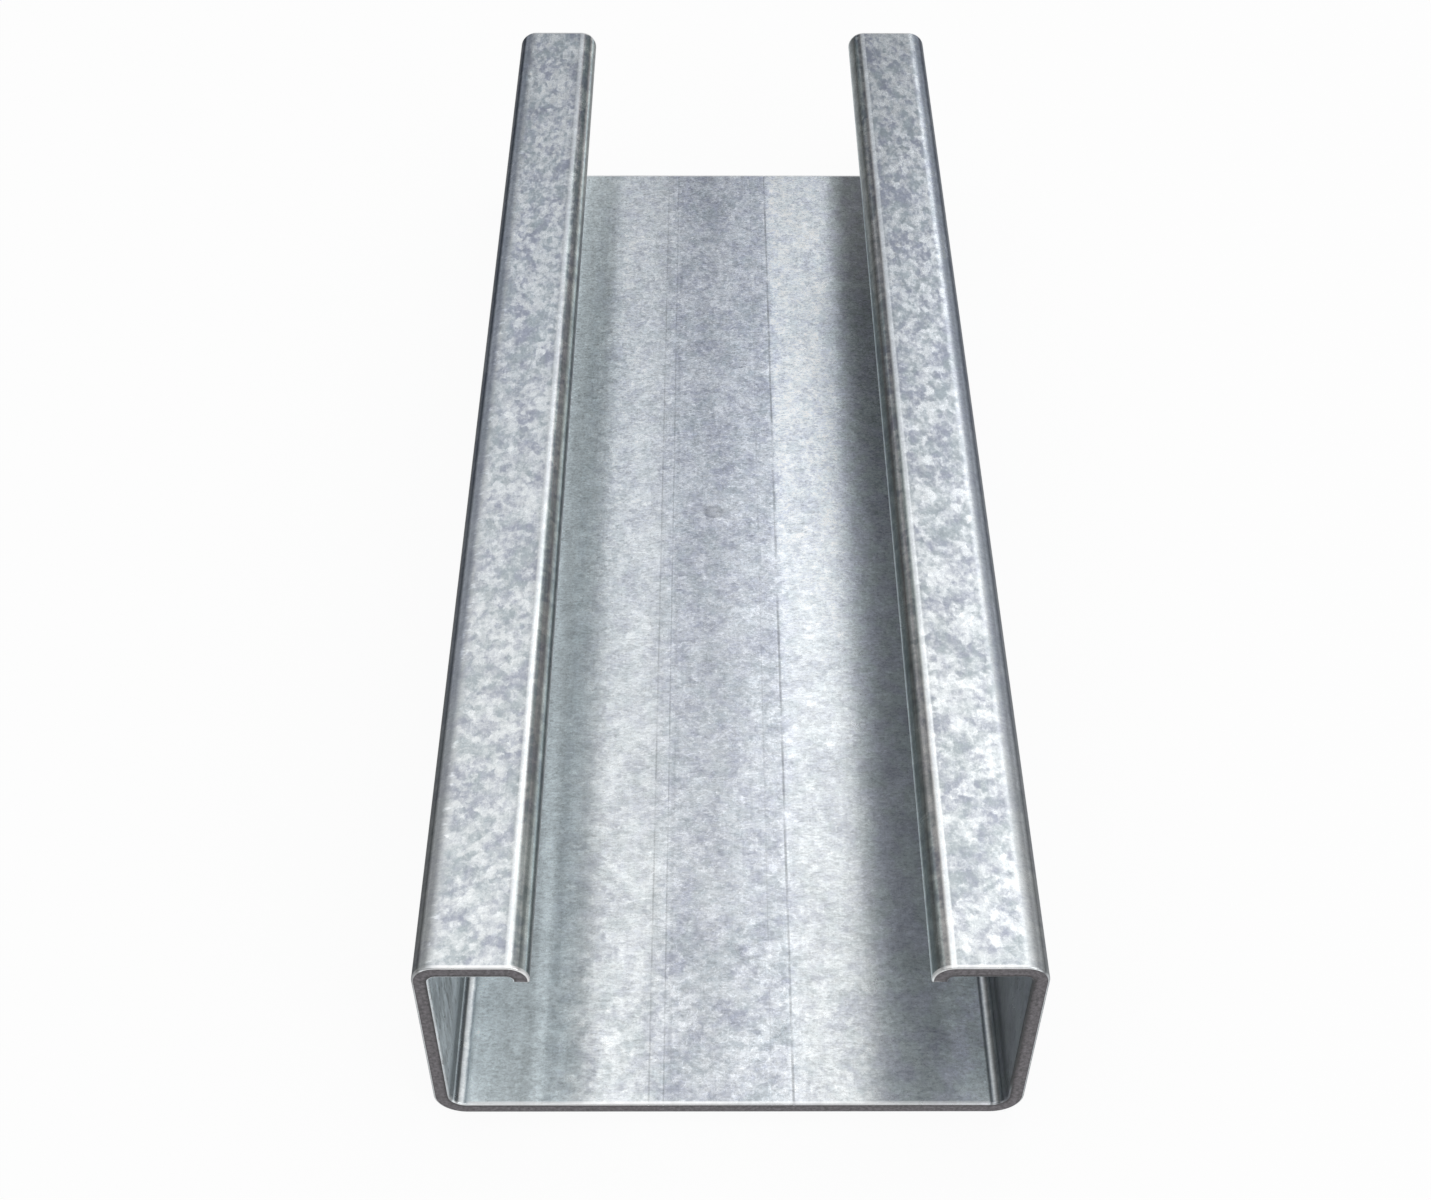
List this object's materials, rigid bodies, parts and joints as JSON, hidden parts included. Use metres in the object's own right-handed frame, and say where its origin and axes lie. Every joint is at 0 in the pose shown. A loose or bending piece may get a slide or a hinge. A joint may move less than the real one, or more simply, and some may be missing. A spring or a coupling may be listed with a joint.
{
  "type": "steel stud",
  "caption": "Short length of galvanised lipped C channel, lying on its web: flat web, square flanges, and lips turned in over the open side with their free edges rolled down.",
  "frame": {"origin": "on the floor under the middle of the stud: the centre of the web's back face", "axes": "+Y along the stud's length, +X across the web, +Z from the web's back out through the open side"},
  "size_m": [0.0922, 0.25, 0.0413],
  "materials": {
    "galvanised_sheet": "galvanised, fine spangle, satin"
  },
  "bodies": {
    "root": {"stud": "galvanised_sheet"}
  },
  "joints": []
}
